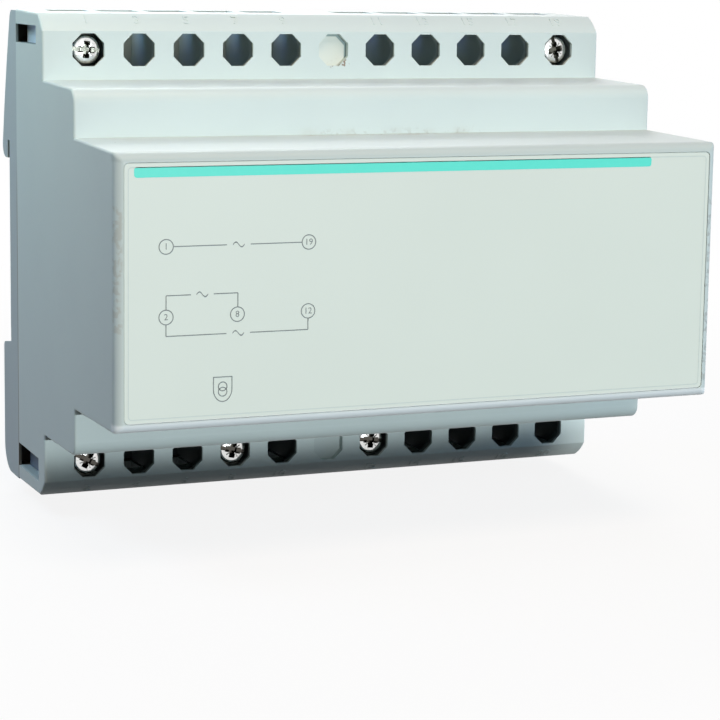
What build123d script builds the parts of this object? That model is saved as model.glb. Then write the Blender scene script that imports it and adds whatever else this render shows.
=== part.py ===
"""Safety transformer in a six-module housing for a 35 mm mounting rail.

Millimetres. The origin is the middle of the face that seats on the rail.
+Z is up, +X is to the right and the front of the housing faces -Y, so a depth
is a distance in front of the rail seat and a reach is a distance behind it.
"""
import os
from math import atan2, cos, pi, radians, sin, tan

from build123d import *

# Housing envelope
MODULE_WIDTH = 17.5
MODULE_COUNT = 6
DRAFT_ANGLE = 1.3
NOSE_DEPTH = 67.0
NOSE_HALF_HEIGHT = 21.65
SHOULDER_DEPTH = 43.4
SHOULDER_HALF_HEIGHT = 30.0
TERMINAL_DEPTH = 23.6
TERMINAL_HALF_HEIGHT = 41.55
SLOPE_FALL = 2.9
SLOPE_RUN = 3.35
SLOPE_BULGE_HEIGHT = 0.28
SEAM_DEPTH = 5.3
WALL = 2.0
FRONT_WALL = 2.4
NOSE_EDGE_RADIUS = 1.6
SHOULDER_EDGE_RADIUS = 2.2
SIDE_EDGE_RADIUS = 0.4
EDGE_TOLERANCE = 0.01

# Front plate, let into the face of the nose
PLATE_MARGIN_SIDE = 1.4
PLATE_MARGIN_TOP = 1.5
PLATE_THICKNESS = 1.0
PLATE_SETBACK = 0.05
PLATE_GAP = 0.05
PLATE_CORNER_RADIUS = 0.8
PLATE_BEVEL = 0.1

# Two rows of places for terminals
PLACE_COUNT = 11
BLANK_INDEX = 5
PLACE_PITCH = 8.9
ROW_INSET = 3.15
HOLE_SIDES = 8
DRIVER_HOLE_FLATS = 5.54
DRIVER_HOLE_LIP = 0.6
COUNTERBORE_FLATS = 6.2
BLANK_RECESS = 1.2
ENTRY_WIDTH = 7.2
ENTRY_FRONT_MARGIN = 0.1
ENTRY_REAR_MARGIN = 0.8

# Windows in the side walls, level with the terminals
WINDOW_DEPTH = 19.4
WINDOW_TOP = 3.9
UPPER_WINDOW_HEIGHT = 3.2
LOWER_WINDOW_HEIGHT = 4.2
WINDOW_SKIN = 0.5

# Rear base with the rail hook and the foot
BASE_TOP_STEP = 0.2
BACK_TOP_SETBACK = 1.2
BACK_TOP_RADIUS = 1.6
BACK_BULGE_HEIGHT = 0.4
HOOK_REACH = 5.0
HOOK_SHOULDER_HEIGHT = 17.9
HOOK_TIP_HEIGHT = 15.4
HOOK_TIP_RADIUS = 2.2
RAIL_LIP_SLOT = 1.35
RAIL_LIP_SLOT_TOP = 18.6
RAIL_LIP_RELIEF = 0.1
SEAT_HALF_HEIGHT = 15.2
FOOT_REACH = 5.3
FOOT_TOP = 17.7
FOOT_TOP_FALL = 0.8
FOOT_TOP_RADIUS = 1.0
FOOT_BOTTOM_RADIUS = 5.0

# Snap arms that hold the base in the cover
ARM_HEIGHT = 8.0
ARM_THICKNESS = 1.5
ARM_LENGTH = 9.0
ARM_SPREAD = 12.0
ARM_GAP = 0.2
CATCH_LENGTH = 2.4
CATCH_HEIGHT = 0.8
CATCH_GAP = 0.15

# Sliding rail latch and its spring
LATCH_WIDTH = 16.0
LATCH_THICKNESS = 3.2
LATCH_NOSE_HEIGHT = 15.3
LATCH_TAIL_LENGTH = 3.0
LATCH_WING = 1.5
LATCH_WING_THICKNESS = 1.6
LATCH_WING_TOP_INSET = 3.9
LATCH_WING_BOTTOM_INSET = 4.3
LATCH_NOSE_BEVEL = 2.2
LATCH_GAP = 0.3
LATCH_FLOOR = 1.3
PULL_SLOT_WIDTH = 6.4
PULL_SLOT_HEIGHT = 1.4
PULL_SLOT_MARGIN = 1.0
SPRING_TOP_INSET = 7.7
SPRING_SPAN = 13.0
SPRING_WIRE = 0.4
SPRING_DIAMETER = 2.8
SPRING_TURNS = 6
SPRING_POCKET_WIDTH = 3.8
SPRING_LUG_WIDTH = 3.2
SPRING_LUG_HEIGHT = 2.0

# Terminal blocks
BLOCK_GAP = 0.1
BLOCK_FRONT_WALL = 1.2
BLOCK_REAR_WALL = 0.9
BLOCK_FLOOR_DROP = 4.3
BLOCK_FLOOR_THICKNESS = 2.0
CHAMBER_WIDTH = 7.6
SCREW_BORE_DIAMETER = 6.8

# Clamp screw, rising cage and contact bar of one terminal
SCREW_RECESS = 1.2
SCREW_HEAD_DIAMETER = 5.0
SCREW_HEAD_HEIGHT = 2.2
SCREW_HEAD_ROUNDING = 0.6
SCREW_SHANK_DIAMETER = 3.4
SCREW_SHANK_LENGTH = 6.55
SCREW_TIP_GAP = 0.05
SLOT_WIDTH = 0.8
SLOT_CUT_DEPTH = 0.9
CROSS_LENGTH = 3.1
CROSS_WIDTH = 0.9
CROSS_CUT_DEPTH = 1.3
CAGE_WIDTH = 7.0
CAGE_LENGTH = 6.0
CAGE_SIDE_WALL = 0.9
CAGE_THREAD_WALL = 2.2
CAGE_REAR_WALL = 1.0
CAGE_BAR_GAP = 0.3
CAGE_CORNER_RADIUS = 0.5
THREAD_GAP = 0.06
CAGE_SEAT_GAP = 0.3
WIRE_GAP = 5.0
BAR_THICKNESS = 1.2
BAR_WIDTH = 4.2
BAR_TAB_WIDTH = 3.0
BAR_END_GAP = 0.5
BAR_TAB_LENGTH = 3.2
BAR_SLOT_GAP = 0.1

# Core of stacked E and I laminations, tongue upright
CORE_REAR_DEPTH = 7.2
CORE_TOP_GAP = 0.15
CORE_FRONT_GAP = 0.4
COIL_SIDE_GAP = 7.3

# Bobbin with one chamber for each winding
BOBBIN_WALL = 1.0
BOBBIN_GAP = 0.2
FLANGE_MARGIN = 0.3
FLANGE_RADIUS = 6.0
WINDING_MARGIN = 0.7
TAPE_THICKNESS = 0.3

# Base ribs that carry the core
RIB_PITCH = 20.0
RIB_COUNT = 4
RIB_THICKNESS = 2.0
RIB_LIP = 2.6
RIB_LIP_REACH = 5.0
RIB_GAP = 0.1

# Thermal cut-out on the primary winding
CUTOUT_LENGTH = 9.0
CUTOUT_WIDTH = 5.0
CUTOUT_THICKNESS = 2.2

# Insulated leads from the windings to the contact bars
LEAD_DIAMETER = 1.6
LEAD_JOINT_INSET = 1.1
LEAD_TAB_RUN = 6.0
LEAD_CORE_GAP = 1.5
LEAD_WALL_GAP = 1.7
LEAD_SPREAD = 8.0
LEAD_CROSS_RUN = 5.0
LEAD_SAG = 1.5
LEAD_BEND_SHARE = 0.45

# Values that follow from the sizes above
HALF_WIDTH = MODULE_WIDTH * MODULE_COUNT / 2
INNER_HALF_WIDTH = HALF_WIDTH - WALL
BLOCK_HALF_WIDTH = INNER_HALF_WIDTH - BLOCK_GAP
OPEN_PLACES = [place for place in range(PLACE_COUNT) if place != BLANK_INDEX]
SLOPE_FOOT_HEIGHT = TERMINAL_HALF_HEIGHT - SLOPE_FALL
ROW_HEIGHT = SLOPE_FOOT_HEIGHT - ROW_INSET
WINDOW_TOP_HEIGHT = ROW_HEIGHT + WINDOW_TOP
SCREW_HEAD_DEPTH = TERMINAL_DEPTH - SCREW_RECESS
SCREW_SEAT_DEPTH = SCREW_HEAD_DEPTH - SCREW_HEAD_HEIGHT
BAR_DEPTH = SCREW_SEAT_DEPTH - SCREW_SHANK_LENGTH - SCREW_TIP_GAP
BAR_REAR_DEPTH = BAR_DEPTH - BAR_THICKNESS
CAGE_REAR_DEPTH = BAR_REAR_DEPTH - WIRE_GAP - CAGE_REAR_WALL
CAGE_INNER_FRONT_DEPTH = BAR_DEPTH + CAGE_BAR_GAP
CAGE_FRONT_DEPTH = CAGE_INNER_FRONT_DEPTH + CAGE_THREAD_WALL
ENTRY_FRONT_DEPTH = BAR_REAR_DEPTH + ENTRY_FRONT_MARGIN
ENTRY_REAR_DEPTH = BAR_REAR_DEPTH - WIRE_GAP - ENTRY_REAR_MARGIN
BLOCK_FRONT_DEPTH = TERMINAL_DEPTH - WALL - BLOCK_GAP
BLOCK_REAR_DEPTH = CAGE_REAR_DEPTH - CAGE_SEAT_GAP - BLOCK_REAR_WALL
BLOCK_FLOOR_HEIGHT = ROW_HEIGHT - BLOCK_FLOOR_DROP
LATCH_WING_TOP = LATCH_NOSE_HEIGHT + LATCH_WING_TOP_INSET
SPRING_TOP = LATCH_NOSE_HEIGHT + SPRING_TOP_INSET
SPRING_BOTTOM = SPRING_TOP + SPRING_SPAN
CORE_DEPTH = NOSE_DEPTH - FRONT_WALL - CORE_FRONT_GAP - CORE_REAR_DEPTH
CORE_LEG = CORE_DEPTH / 6
CORE_WINDOW_WIDTH = CORE_LEG
TONGUE = 2 * CORE_LEG
CORE_HALF_HEIGHT = NOSE_HALF_HEIGHT - WALL - CORE_TOP_GAP
CORE_WINDOW_HEIGHT = 2 * (CORE_HALF_HEIGHT - CORE_LEG)
CORE_MIDDLE_DEPTH = CORE_REAR_DEPTH + CORE_DEPTH / 2
FLANGE_HALF_LENGTH = INNER_HALF_WIDTH - COIL_SIDE_GAP
STACK_LENGTH = 2 * (FLANGE_HALF_LENGTH + FLANGE_MARGIN - CORE_WINDOW_WIDTH)
TUBE_HALF_LENGTH = STACK_LENGTH / 2 + BOBBIN_GAP + BOBBIN_WALL
TUBE_HALF_WIDTH = TONGUE / 2 + BOBBIN_GAP + BOBBIN_WALL
FLANGE_HALF_WIDTH = TONGUE / 2 + CORE_WINDOW_WIDTH - FLANGE_MARGIN
BOBBIN_HALF_HEIGHT = CORE_WINDOW_HEIGHT / 2 - BOBBIN_GAP
LATCH_FRONT = LATCH_FLOOR + LATCH_GAP
LATCH_BACK = LATCH_FRONT + LATCH_THICKNESS

# Number of each fitted terminal, with its place in the row and its row
TERMINALS = {1: (0, 1), 19: (10, 1), 2: (0, -1), 8: (3, -1), 12: (6, -1)}


def place_x(place):
    """X of one place in a terminal row."""
    return (place - (PLACE_COUNT - 1) / 2) * PLACE_PITCH


def drafted(half_height, from_depth, depth):
    """Half height of a top face that rises towards the rear by the draft."""
    return half_height + (from_depth - depth) * tan(radians(DRAFT_ANGLE))


def front_plane(x, depth, z):
    """Plane that faces the front, at a given depth."""
    return Plane(origin=(x, -depth, z), x_dir=(1, 0, 0), z_dir=(0, -1, 0))


def block_between(low, high, mode=Mode.SUBTRACT):
    """Cut or add a block between two corners."""
    size = [abs(b - a) for a, b in zip(low, high)]
    middle = [(a + b) / 2 for a, b in zip(low, high)]
    with Locations(tuple(middle)):
        Box(*size, mode=mode)


def finish(builder, name):
    """Label a finished piece and write it to its own file."""
    builder.part.label = name
    export_step(builder.part, f"parts/{name}.step")


def driver_hole_outline(flats):
    """Draw a regular driver hole with a flat side on top."""
    RegularPolygon(flats / 2, HOLE_SIDES, major_radius=False, rotation=180 / HOLE_SIDES)


def slope_points(inset):
    """Lower and upper end of the sloped corner of a terminal row, set in by a wall."""
    crest_height = TERMINAL_HALF_HEIGHT
    slope_angle = atan2(crest_height - SLOPE_FOOT_HEIGHT, SLOPE_RUN)
    crest_depth = TERMINAL_DEPTH - SLOPE_RUN - inset * tan(slope_angle / 2)
    foot = (
        -(TERMINAL_DEPTH - inset),
        SLOPE_FOOT_HEIGHT - inset * tan((pi / 2 - slope_angle) / 2),
    )
    crest = (-crest_depth, drafted(crest_height, TERMINAL_DEPTH - SLOPE_RUN, crest_depth) - inset)
    return foot, crest


def stepped_outline(inset, front_inset, bulge):
    """Draw the housing's side outline up to the seam, set in by a wall."""
    foot, crest = slope_points(inset)
    slope_angle = atan2(crest[1] - foot[1], crest[0] - foot[0])
    middle = (
        (foot[0] + crest[0]) / 2 - bulge * sin(slope_angle),
        (foot[1] + crest[1]) / 2 + bulge * cos(slope_angle),
    )
    nose_depth = NOSE_DEPTH - front_inset
    shoulder_depth = SHOULDER_DEPTH - inset
    terminal_depth = TERMINAL_DEPTH - inset
    rear_depth = SEAM_DEPTH - inset
    Polyline(
        (-nose_depth, 0),
        (-nose_depth, drafted(NOSE_HALF_HEIGHT, NOSE_DEPTH, nose_depth) - inset),
        (-shoulder_depth, drafted(NOSE_HALF_HEIGHT, NOSE_DEPTH, shoulder_depth) - inset),
        (-shoulder_depth, drafted(SHOULDER_HALF_HEIGHT, SHOULDER_DEPTH, shoulder_depth) - inset),
        (-terminal_depth, drafted(SHOULDER_HALF_HEIGHT, SHOULDER_DEPTH, terminal_depth) - inset),
        foot,
    )
    if bulge > 0:
        ThreePointArc(foot, middle, crest)
    else:
        Line(foot, crest)
    Polyline(
        crest,
        (-rear_depth, drafted(TERMINAL_HALF_HEIGHT, TERMINAL_DEPTH - SLOPE_RUN, rear_depth) - inset),
        (-rear_depth, 0),
    )
    mirror(about=Plane.XZ)


os.makedirs("parts", exist_ok=True)

# Housing cover: one stepped moulding, open at the rear
with BuildPart() as housing_cover:
    with BuildSketch(Plane.YZ) as cover_side:
        with BuildLine():
            stepped_outline(0, 0, SLOPE_BULGE_HEIGHT)
        make_face()
        for row in (1, -1):
            shoulder_corner = Vertex(-SHOULDER_DEPTH, row * SHOULDER_HALF_HEIGHT, 0)
            fillet(cover_side.vertices().sort_by_distance(shoulder_corner)[0], SHOULDER_EDGE_RADIUS)
    extrude(amount=HALF_WIDTH, both=True)
    for side_face in housing_cover.faces().filter_by(Axis.X):
        side_edges = side_face.edges().filter_by(
            lambda edge: -NOSE_DEPTH + EDGE_TOLERANCE < edge.center().Y < -SEAM_DEPTH - EDGE_TOLERANCE
        )
        fillet(side_edges, SIDE_EDGE_RADIUS)
    nose_edges = housing_cover.edges().filter_by(lambda edge: edge.center().Y < -NOSE_DEPTH + EDGE_TOLERANCE)
    fillet(nose_edges, NOSE_EDGE_RADIUS)
    with BuildSketch(Plane.YZ):
        with BuildLine():
            stepped_outline(WALL, FRONT_WALL, 0)
        make_face()
    extrude(amount=INNER_HALF_WIDTH, both=True, mode=Mode.SUBTRACT)
    # Recess for the front plate
    with BuildSketch(front_plane(0, NOSE_DEPTH, 0)):
        RectangleRounded(
            2 * (HALF_WIDTH - PLATE_MARGIN_SIDE + PLATE_GAP),
            2 * (NOSE_HALF_HEIGHT - PLATE_MARGIN_TOP + PLATE_GAP),
            PLATE_CORNER_RADIUS + PLATE_GAP,
        )
    extrude(amount=-PLATE_THICKNESS - PLATE_SETBACK, mode=Mode.SUBTRACT)
    # Eight-sided driver holes, wider behind a thin lip, and the blank place between them
    for row in (1, -1):
        with BuildSketch(front_plane(0, TERMINAL_DEPTH, row * ROW_HEIGHT)):
            with Locations([(place_x(place), 0) for place in OPEN_PLACES]):
                driver_hole_outline(DRIVER_HOLE_FLATS)
        extrude(amount=-2 * WALL, mode=Mode.SUBTRACT)
        with BuildSketch(front_plane(0, TERMINAL_DEPTH - DRIVER_HOLE_LIP, row * ROW_HEIGHT)):
            with Locations([(place_x(place), 0) for place in OPEN_PLACES]):
                driver_hole_outline(COUNTERBORE_FLATS)
        extrude(amount=-2 * WALL, mode=Mode.SUBTRACT)
        with BuildSketch(front_plane(0, TERMINAL_DEPTH, row * ROW_HEIGHT)):
            with Locations((place_x(BLANK_INDEX), 0)):
                driver_hole_outline(DRIVER_HOLE_FLATS)
        extrude(amount=-BLANK_RECESS, mode=Mode.SUBTRACT)
    # Wire entries in the top and bottom walls
    for row in (1, -1):
        with BuildSketch(Plane.XY.offset(row * TERMINAL_HALF_HEIGHT)):
            with Locations(
                [(place_x(place), -(ENTRY_FRONT_DEPTH + ENTRY_REAR_DEPTH) / 2) for place in OPEN_PLACES]
            ):
                Rectangle(ENTRY_WIDTH, ENTRY_FRONT_DEPTH - ENTRY_REAR_DEPTH)
        extrude(amount=1.5 * WALL, both=True, mode=Mode.SUBTRACT)
    # Windows through both side walls, open towards the seam
    for row, window_height in ((1, UPPER_WINDOW_HEIGHT), (-1, LOWER_WINDOW_HEIGHT)):
        for side in (1, -1):
            block_between(
                (side * (INNER_HALF_WIDTH - WALL), -WINDOW_DEPTH, row * (WINDOW_TOP_HEIGHT - window_height)),
                (side * (HALF_WIDTH + WALL), -SEAM_DEPTH + WALL, row * WINDOW_TOP_HEIGHT),
            )
    # Pockets in the side walls for the catches of the base
    for side in (1, -1):
        for row in (1, -1):
            catch_front = SEAM_DEPTH + ARM_LENGTH
            block_between(
                (
                    side * (INNER_HALF_WIDTH - CATCH_HEIGHT),
                    -catch_front - CATCH_GAP,
                    row * ARM_SPREAD - ARM_HEIGHT / 2 - CATCH_GAP,
                ),
                (
                    side * (INNER_HALF_WIDTH - ARM_GAP + CATCH_HEIGHT + CATCH_GAP),
                    -catch_front + CATCH_LENGTH + CATCH_GAP,
                    row * ARM_SPREAD + ARM_HEIGHT / 2 + CATCH_GAP,
                ),
            )
finish(housing_cover, "housing_cover")

# Front plate: flat printed plate with bevelled edges
with BuildPart() as front_plate:
    with BuildSketch(front_plane(0, NOSE_DEPTH - PLATE_SETBACK - PLATE_THICKNESS, 0)):
        RectangleRounded(
            2 * (HALF_WIDTH - PLATE_MARGIN_SIDE),
            2 * (NOSE_HALF_HEIGHT - PLATE_MARGIN_TOP),
            PLATE_CORNER_RADIUS,
        )
    extrude(amount=PLATE_THICKNESS)
    chamfer(front_plate.faces().sort_by(Axis.Y)[0].edges(), PLATE_BEVEL)
finish(front_plate, "front_plate")

# Rear base: tray with the fixed rail hook above and the foot below
with BuildPart() as rear_base:
    seam_height = drafted(TERMINAL_HALF_HEIGHT, TERMINAL_DEPTH - SLOPE_RUN, SEAM_DEPTH)
    base_top = seam_height - BASE_TOP_STEP
    back_top = (-BACK_TOP_SETBACK, base_top)
    hook_back = (HOOK_REACH, HOOK_SHOULDER_HEIGHT)
    back_middle = (
        (back_top[0] + hook_back[0]) / 2 + BACK_BULGE_HEIGHT,
        (back_top[1] + hook_back[1]) / 2,
    )
    with BuildSketch(Plane.YZ) as base_side:
        with BuildLine():
            Line((-SEAM_DEPTH, base_top), back_top)
            ThreePointArc(back_top, back_middle, hook_back)
            Polyline(
                hook_back,
                (HOOK_REACH, HOOK_TIP_HEIGHT),
                (RAIL_LIP_SLOT, HOOK_TIP_HEIGHT),
                (RAIL_LIP_SLOT, RAIL_LIP_SLOT_TOP),
                (-RAIL_LIP_RELIEF, RAIL_LIP_SLOT_TOP),
                (-RAIL_LIP_RELIEF, SEAT_HALF_HEIGHT),
                (0, SEAT_HALF_HEIGHT),
                (0, -SEAT_HALF_HEIGHT),
                (-RAIL_LIP_RELIEF, -SEAT_HALF_HEIGHT),
                (-RAIL_LIP_RELIEF, -FOOT_TOP),
                (FOOT_REACH, -FOOT_TOP - FOOT_TOP_FALL),
                (FOOT_REACH, -seam_height),
                (-SEAM_DEPTH, -seam_height),
                (-SEAM_DEPTH, base_top),
            )
        make_face()
        corners = base_side.vertices()
        fillet(corners.sort_by_distance(Vertex(*back_top, 0))[0], BACK_TOP_RADIUS)
        corners = base_side.vertices()
        fillet(corners.sort_by_distance(Vertex(HOOK_REACH, HOOK_TIP_HEIGHT, 0))[0], HOOK_TIP_RADIUS)
        corners = base_side.vertices()
        fillet(
            corners.sort_by_distance(Vertex(FOOT_REACH, -FOOT_TOP - FOOT_TOP_FALL, 0))[0],
            FOOT_TOP_RADIUS,
        )
        corners = base_side.vertices()
        fillet(
            corners.sort_by_distance(Vertex(FOOT_REACH, -seam_height, 0))[0],
            FOOT_BOTTOM_RADIUS,
        )
    extrude(amount=HALF_WIDTH, both=True)
    # Hollow behind the seam
    hollow_top = base_top - WALL
    slot_roof = RAIL_LIP_SLOT_TOP + WALL
    back_lean = (HOOK_REACH + BACK_TOP_SETBACK) / (base_top - HOOK_SHOULDER_HEIGHT)
    with BuildSketch(Plane.YZ):
        with BuildLine():
            Polyline(
                (-SEAM_DEPTH - WALL, hollow_top),
                (-BACK_TOP_SETBACK - WALL + back_lean * WALL, hollow_top),
                (HOOK_REACH - WALL - back_lean * (slot_roof - HOOK_SHOULDER_HEIGHT), slot_roof),
                (-WALL, slot_roof),
                (-WALL, -hollow_top),
                (-SEAM_DEPTH - WALL, -hollow_top),
                close=True,
            )
        make_face()
    extrude(amount=INNER_HALF_WIDTH, both=True, mode=Mode.SUBTRACT)
    # Notches in the rim behind the windows, inside a thin skin
    for row, window_height in ((1, UPPER_WINDOW_HEIGHT), (-1, LOWER_WINDOW_HEIGHT)):
        for side in (1, -1):
            block_between(
                (
                    side * (INNER_HALF_WIDTH - WALL),
                    -SEAM_DEPTH - WALL,
                    row * (WINDOW_TOP_HEIGHT - window_height),
                ),
                (side * (HALF_WIDTH - WINDOW_SKIN), -WALL, row * WINDOW_TOP_HEIGHT),
            )
    # Hollows in the foot, one each side of the latch channel
    channel_half_width = LATCH_WIDTH / 2 + LATCH_WING + LATCH_GAP
    foot_hollow_top = FOOT_TOP + FOOT_TOP_FALL + WALL
    foot_hollow_bottom = seam_height - FOOT_BOTTOM_RADIUS
    for side in (1, -1):
        block_between(
            (side * (channel_half_width + WALL), -2 * WALL, -foot_hollow_top),
            (side * INNER_HALF_WIDTH, FOOT_REACH - WALL, -foot_hollow_bottom),
        )
    # Latch channel: a wide slot for the wings behind a narrower mouth
    groove_back = LATCH_FRONT + LATCH_WING_THICKNESS + LATCH_GAP
    block_between(
        (-channel_half_width, LATCH_FLOOR, -FOOT_TOP + WALL),
        (channel_half_width, groove_back, -seam_height - WALL),
    )
    block_between(
        (-LATCH_WIDTH / 2 - LATCH_GAP, LATCH_FLOOR, -FOOT_TOP + WALL),
        (LATCH_WIDTH / 2 + LATCH_GAP, FOOT_REACH + WALL, -seam_height - WALL),
    )
    # Lug that the spring pushes against
    block_between(
        (-SPRING_LUG_WIDTH / 2, LATCH_FLOOR, -SPRING_BOTTOM),
        (SPRING_LUG_WIDTH / 2, LATCH_BACK - LATCH_GAP, -SPRING_BOTTOM - SPRING_LUG_HEIGHT),
        mode=Mode.ADD,
    )
    # Ribs with lips that hold the core from behind
    lip_inside = CORE_HALF_HEIGHT + RIB_GAP
    with BuildSketch(Plane.YZ) as rib_side:
        with BuildLine():
            Polyline(
                (-WALL, lip_inside + RIB_LIP),
                (-CORE_REAR_DEPTH - RIB_LIP_REACH, lip_inside + RIB_LIP / 2),
                (-CORE_REAR_DEPTH - RIB_LIP_REACH, lip_inside),
                (-CORE_REAR_DEPTH, lip_inside),
                (-CORE_REAR_DEPTH, 0),
                (-WALL, 0),
                close=True,
            )
        make_face()
        mirror(about=Plane.XZ)
    with Locations([(RIB_PITCH * (rib - (RIB_COUNT - 1) / 2), 0, 0) for rib in range(RIB_COUNT)]):
        add(extrude(rib_side.sketch, amount=RIB_THICKNESS / 2, both=True, mode=Mode.PRIVATE))
    # Snap arms with catches
    for side in (1, -1):
        arm_outside = side * (INNER_HALF_WIDTH - ARM_GAP)
        arm_inside = side * (INNER_HALF_WIDTH - ARM_GAP - ARM_THICKNESS)
        catch_outside = side * (INNER_HALF_WIDTH - ARM_GAP + CATCH_HEIGHT)
        arm_front = -SEAM_DEPTH - ARM_LENGTH
        for row in (1, -1):
            with BuildSketch(Plane.XY.offset(row * ARM_SPREAD)):
                with BuildLine():
                    Polyline(
                        (arm_inside, -WALL),
                        (arm_inside, arm_front),
                        (arm_outside, arm_front),
                        (catch_outside, arm_front + CATCH_LENGTH),
                        (arm_outside, arm_front + CATCH_LENGTH),
                        (arm_outside, -WALL),
                        close=True,
                    )
                make_face()
            extrude(amount=ARM_HEIGHT / 2, both=True)
finish(rear_base, "rear_base")

# Rail latch: flat slider with side wings, a bevelled nose and a pull slot
with BuildPart() as rail_latch:
    latch_bottom = seam_height + LATCH_TAIL_LENGTH
    wing_bottom = latch_bottom - LATCH_WING_BOTTOM_INSET
    with BuildSketch(front_plane(0, -LATCH_BACK, 0)):
        with Locations((0, -(LATCH_NOSE_HEIGHT + latch_bottom) / 2)):
            Rectangle(LATCH_WIDTH, latch_bottom - LATCH_NOSE_HEIGHT)
    extrude(amount=LATCH_THICKNESS)
    nose_edge = rail_latch.faces().sort_by(Axis.Z)[-1].edges().sort_by(Axis.Y)[-1]
    chamfer(nose_edge, LATCH_NOSE_BEVEL)
    block_between(
        (-LATCH_WIDTH / 2 - LATCH_WING, LATCH_FRONT, -LATCH_WING_TOP),
        (LATCH_WIDTH / 2 + LATCH_WING, LATCH_FRONT + LATCH_WING_THICKNESS, -wing_bottom),
        mode=Mode.ADD,
    )
    block_between(
        (-SPRING_POCKET_WIDTH / 2, 0, -SPRING_TOP),
        (
            SPRING_POCKET_WIDTH / 2,
            LATCH_BACK + WALL,
            -SPRING_BOTTOM - SPRING_LUG_HEIGHT - LATCH_GAP,
        ),
    )
    block_between(
        (-PULL_SLOT_WIDTH / 2, 0, -latch_bottom + PULL_SLOT_MARGIN),
        (PULL_SLOT_WIDTH / 2, LATCH_BACK + WALL, -latch_bottom + PULL_SLOT_MARGIN + PULL_SLOT_HEIGHT),
    )
finish(rail_latch, "rail_latch")

# Latch spring between the top of the latch's pocket and the lug
with BuildPart() as latch_spring:
    coil_radius = (SPRING_DIAMETER - SPRING_WIRE) / 2
    coil_height = SPRING_SPAN - SPRING_WIRE
    with BuildLine() as coil:
        Helix(
            pitch=coil_height / SPRING_TURNS,
            height=coil_height,
            radius=coil_radius,
            center=(0, (LATCH_FRONT + LATCH_BACK) / 2, -SPRING_BOTTOM + SPRING_WIRE / 2),
        )
    with BuildSketch(Plane(origin=coil.line @ 0, z_dir=coil.line % 0)):
        Circle(SPRING_WIRE / 2)
    sweep()
finish(latch_spring, "latch_spring")


def make_terminal_block(name, row):
    """One row's inner moulding: a comb of chambers behind the driver holes."""
    foot, crest = slope_points(WALL + BLOCK_GAP)
    ceiling = crest[1]
    block_bottom = BLOCK_FLOOR_HEIGHT - BLOCK_FLOOR_THICKNESS
    chamber_front = BLOCK_FRONT_DEPTH - BLOCK_FRONT_WALL
    chamber_rear = BLOCK_REAR_DEPTH + BLOCK_REAR_WALL
    with BuildPart() as block:
        with BuildSketch(Plane.YZ):
            with BuildLine():
                Polyline(
                    (-BLOCK_FRONT_DEPTH, row * block_bottom),
                    (foot[0], row * foot[1]),
                    (crest[0], row * ceiling),
                    (-BLOCK_REAR_DEPTH, row * ceiling),
                    (-BLOCK_REAR_DEPTH, row * block_bottom),
                    close=True,
                )
            make_face()
        extrude(amount=BLOCK_HALF_WIDTH, both=True)
        for place in OPEN_PLACES:
            block_between(
                (place_x(place) - CHAMBER_WIDTH / 2, -chamber_front, row * BLOCK_FLOOR_HEIGHT),
                (place_x(place) + CHAMBER_WIDTH / 2, -chamber_rear, row * (ceiling + WALL)),
            )
        with BuildSketch(front_plane(0, BLOCK_FRONT_DEPTH, row * ROW_HEIGHT)):
            with Locations([(place_x(place), 0) for place in OPEN_PLACES]):
                Circle(SCREW_BORE_DIAMETER / 2)
        extrude(amount=-BLOCK_FRONT_WALL, mode=Mode.SUBTRACT)
        for place, its_row in TERMINALS.values():
            if its_row == row:
                half_slot = BAR_TAB_WIDTH / 2 + BAR_SLOT_GAP
                block_between(
                    (place_x(place) - half_slot, -BAR_DEPTH - BAR_SLOT_GAP, row * (block_bottom - WALL)),
                    (
                        place_x(place) + half_slot,
                        -BAR_REAR_DEPTH + BAR_SLOT_GAP,
                        row * (BLOCK_FLOOR_HEIGHT + WALL),
                    ),
                )
    finish(block, name)


def make_screw(number, x, z):
    """Clamp screw with a slot and a cross in its head."""
    with BuildPart() as screw:
        with BuildSketch(front_plane(x, SCREW_SEAT_DEPTH, z)):
            Circle(SCREW_HEAD_DIAMETER / 2)
        extrude(amount=SCREW_HEAD_HEIGHT)
        fillet(screw.faces().sort_by(Axis.Y)[0].edges(), SCREW_HEAD_ROUNDING)
        with BuildSketch(front_plane(x, SCREW_SEAT_DEPTH, z)):
            Circle(SCREW_SHANK_DIAMETER / 2)
        extrude(amount=-SCREW_SHANK_LENGTH)
        with BuildSketch(front_plane(x, SCREW_HEAD_DEPTH, z)):
            Rectangle(SCREW_HEAD_DIAMETER + SLOT_WIDTH, SLOT_WIDTH)
        extrude(amount=-SLOT_CUT_DEPTH, mode=Mode.SUBTRACT)
        with BuildSketch(front_plane(x, SCREW_HEAD_DEPTH, z)):
            Rectangle(CROSS_LENGTH, CROSS_WIDTH)
            Rectangle(CROSS_WIDTH, CROSS_LENGTH)
        extrude(amount=-CROSS_CUT_DEPTH, mode=Mode.SUBTRACT)
    finish(screw, f"terminal_screw_{number}")


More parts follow.
